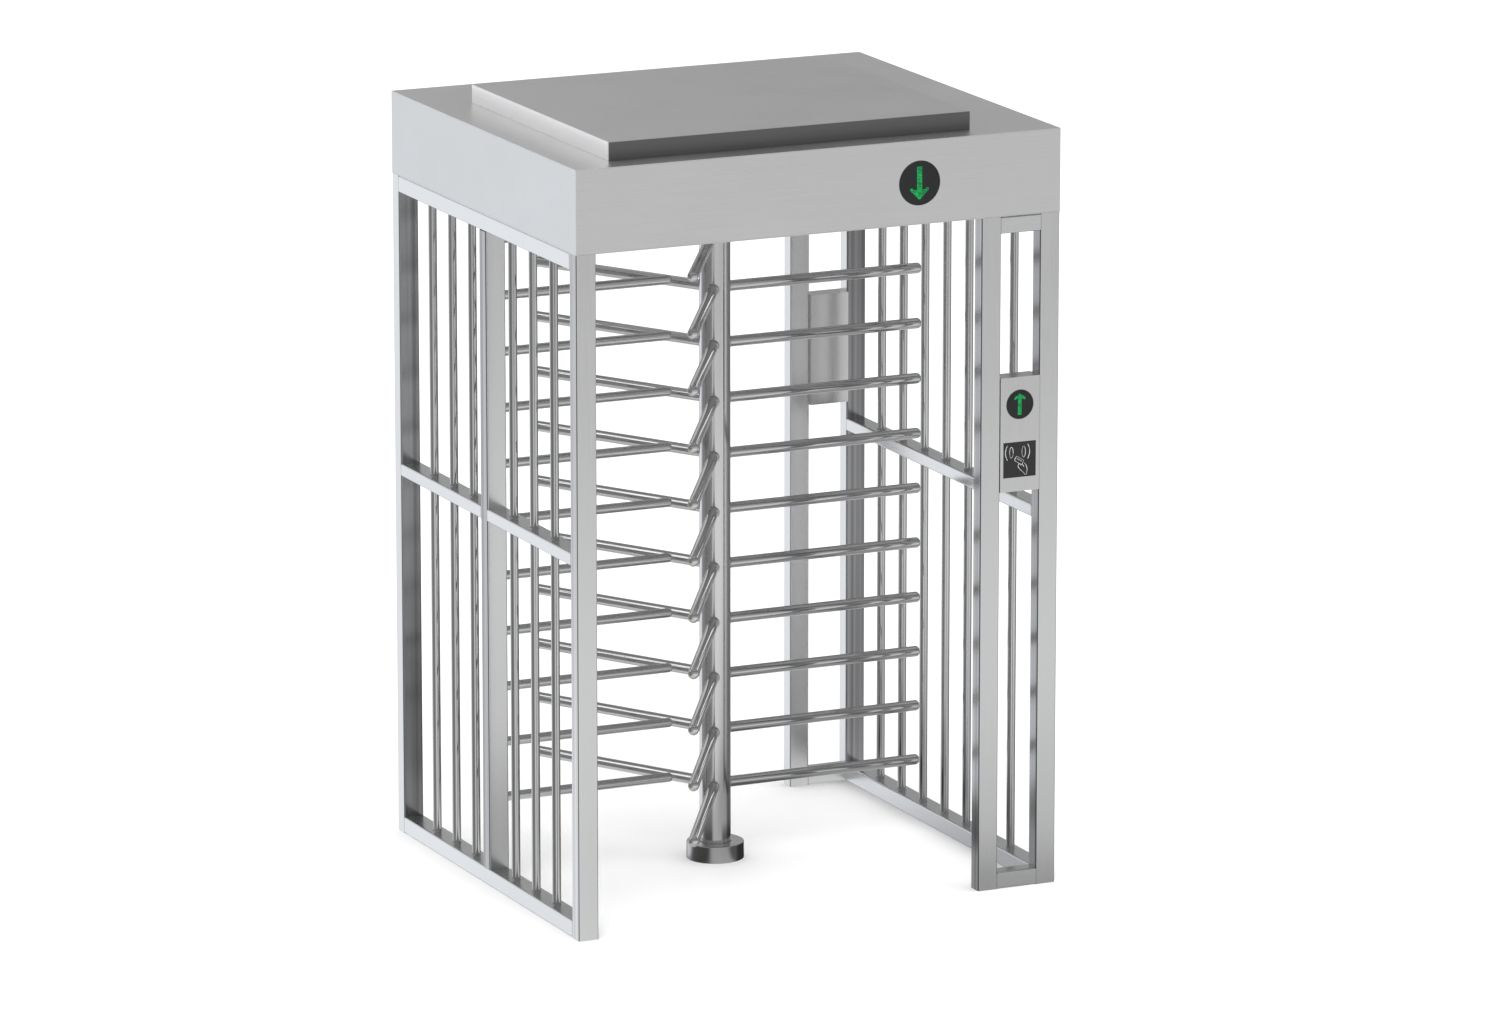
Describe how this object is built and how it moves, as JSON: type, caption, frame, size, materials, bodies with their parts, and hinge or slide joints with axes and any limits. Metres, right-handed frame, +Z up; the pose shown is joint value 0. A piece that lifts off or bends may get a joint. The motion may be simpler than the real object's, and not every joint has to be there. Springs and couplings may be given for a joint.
{
  "type": "full-height turnstile",
  "caption": "Single-lane full-height turnstile: a turning column of barred wings in a barred steel cage with a box canopy, a comb barrier and a card reader column on each side.",
  "frame": {"origin": "middle of the footprint, on the floor", "axes": "+Z up, +X to the right of a person who walks in along +Y, from the display side"},
  "size_m": [1.52, 1.345, 2.3],
  "materials": {
    "frame_steel": "brushed along the length",
    "rotor_steel": "fine brushed, close to polished",
    "canopy_steel": "brushed sheet",
    "base_steel": "turned and polished",
    "display_black": "smoked lens over a dot display",
    "reader_black": "satin with a printed symbol",
    "mechanism_steel": "machined",
    "bearing_bronze": "turned bronze",
    "solenoid_black": "moulded case",
    "controller_grey": "moulded case"
  },
  "bodies": {
    "frame": {"left_front_post": "frame_steel", "left_rear_post": "frame_steel", "comb_barrier": "frame_steel", "left_top_rail": "frame_steel", "left_bottom_rail": "frame_steel", "left_mid_rail_front": "frame_steel", "left_mid_rail_rear": "frame_steel", "left_bar_1": "frame_steel", "left_bar_2": "frame_steel", "left_bar_3": "frame_steel", "left_bar_4": "frame_steel", "left_bar_5": "frame_steel", "left_bar_6": "frame_steel", "right_front_post": "frame_steel", "right_rear_post": "frame_steel", "front_inner_post": "frame_steel", "rear_inner_post": "frame_steel", "right_top_rail": "frame_steel", "right_mid_rail": "frame_steel", "right_bottom_rail": "frame_steel", "right_bar_1": "frame_steel", "right_bar_2": "frame_steel", "right_bar_3": "frame_steel", "right_bar_4": "frame_steel", "right_bar_5": "frame_steel", "right_bar_6": "frame_steel", "right_bar_7": "frame_steel", "front_top_cross": "frame_steel", "front_bottom_cross": "frame_steel", "rear_top_cross": "frame_steel", "rear_bottom_cross": "frame_steel", "front_reader_housing": "frame_steel", "rear_reader_housing": "frame_steel", "front_indicator": "display_black", "rear_indicator": "display_black", "front_display": "display_black", "rear_display": "display_black", "front_card_reader": "reader_black", "rear_card_reader": "reader_black", "canopy_front_panel": "canopy_steel", "canopy_rear_panel": "canopy_steel", "canopy_left_panel": "canopy_steel", "canopy_right_panel": "canopy_steel", "canopy_top_plate": "canopy_steel", "canopy_base_plate": "canopy_steel", "raised_lid": "canopy_steel", "base_ring": "base_steel", "foot_bearing": "bearing_bronze", "bearing_beam": "mechanism_steel", "bearing_housing": "mechanism_steel", "entry_solenoid": "solenoid_black", "exit_solenoid": "solenoid_black", "controller_box": "controller_grey"},
    "rotor": {"rotor_column": "rotor_steel", "wing_right": "rotor_steel", "wing_front": "rotor_steel", "wing_rear": "rotor_steel", "index_disc": "mechanism_steel"},
    "entry_bolt": {"entry_bolt": "mechanism_steel"},
    "exit_bolt": {"exit_bolt": "mechanism_steel"}
  },
  "joints": [
    {"name": "rotor_spin", "type": "hinge", "parent": "frame", "child": "rotor", "pos_m": [-0.025, 0, 0], "axis": [0, 0, 1], "continuous": true},
    {"name": "entry_bolt_slide", "type": "slide", "parent": "frame", "child": "entry_bolt", "axis": [0, 0, 1], "range_m": [-0.015, 0], "stiffness_N_per_m": 300, "springref_m": 0.015},
    {"name": "exit_bolt_slide", "type": "slide", "parent": "frame", "child": "exit_bolt", "axis": [0, 0, 1], "range_m": [-0.015, 0], "stiffness_N_per_m": 300, "springref_m": 0.015}
  ]
}
